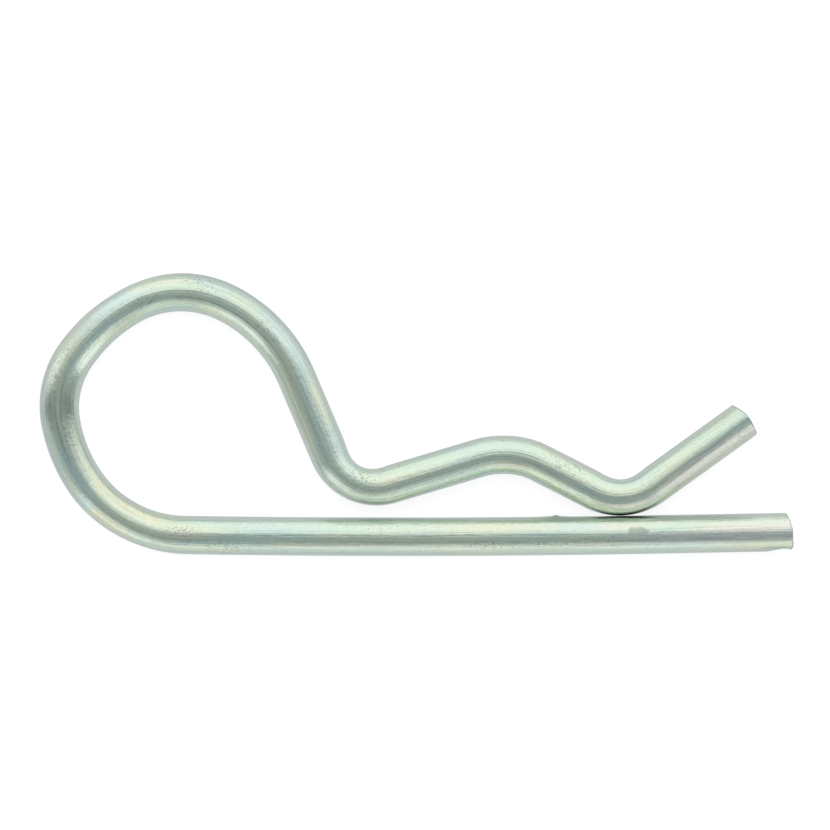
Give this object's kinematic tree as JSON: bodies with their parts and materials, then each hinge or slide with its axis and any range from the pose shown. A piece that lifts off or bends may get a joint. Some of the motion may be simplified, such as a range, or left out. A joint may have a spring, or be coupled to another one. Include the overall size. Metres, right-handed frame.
{
  "type": "hitch r clip pin",
  "caption": "Spring wire R clip with a straight leg, a round eye and a humped sprung leg that locks over a shaft.",
  "frame": {"origin": "where the axis of the shaft that the clip grips crosses the axis of the straight leg", "axes": "+X along the straight leg towards its free end, +Y towards the sprung leg, +Z square to the clip's plane"},
  "size_m": [0.0782, 0.0302, 0.004],
  "materials": {
    "zinc_wire": "bright zinc plate on drawn spring wire, with a pale green, straw and lilac passivation"
  },
  "bodies": {
    "root": {"r_clip": "zinc_wire"}
  },
  "joints": []
}
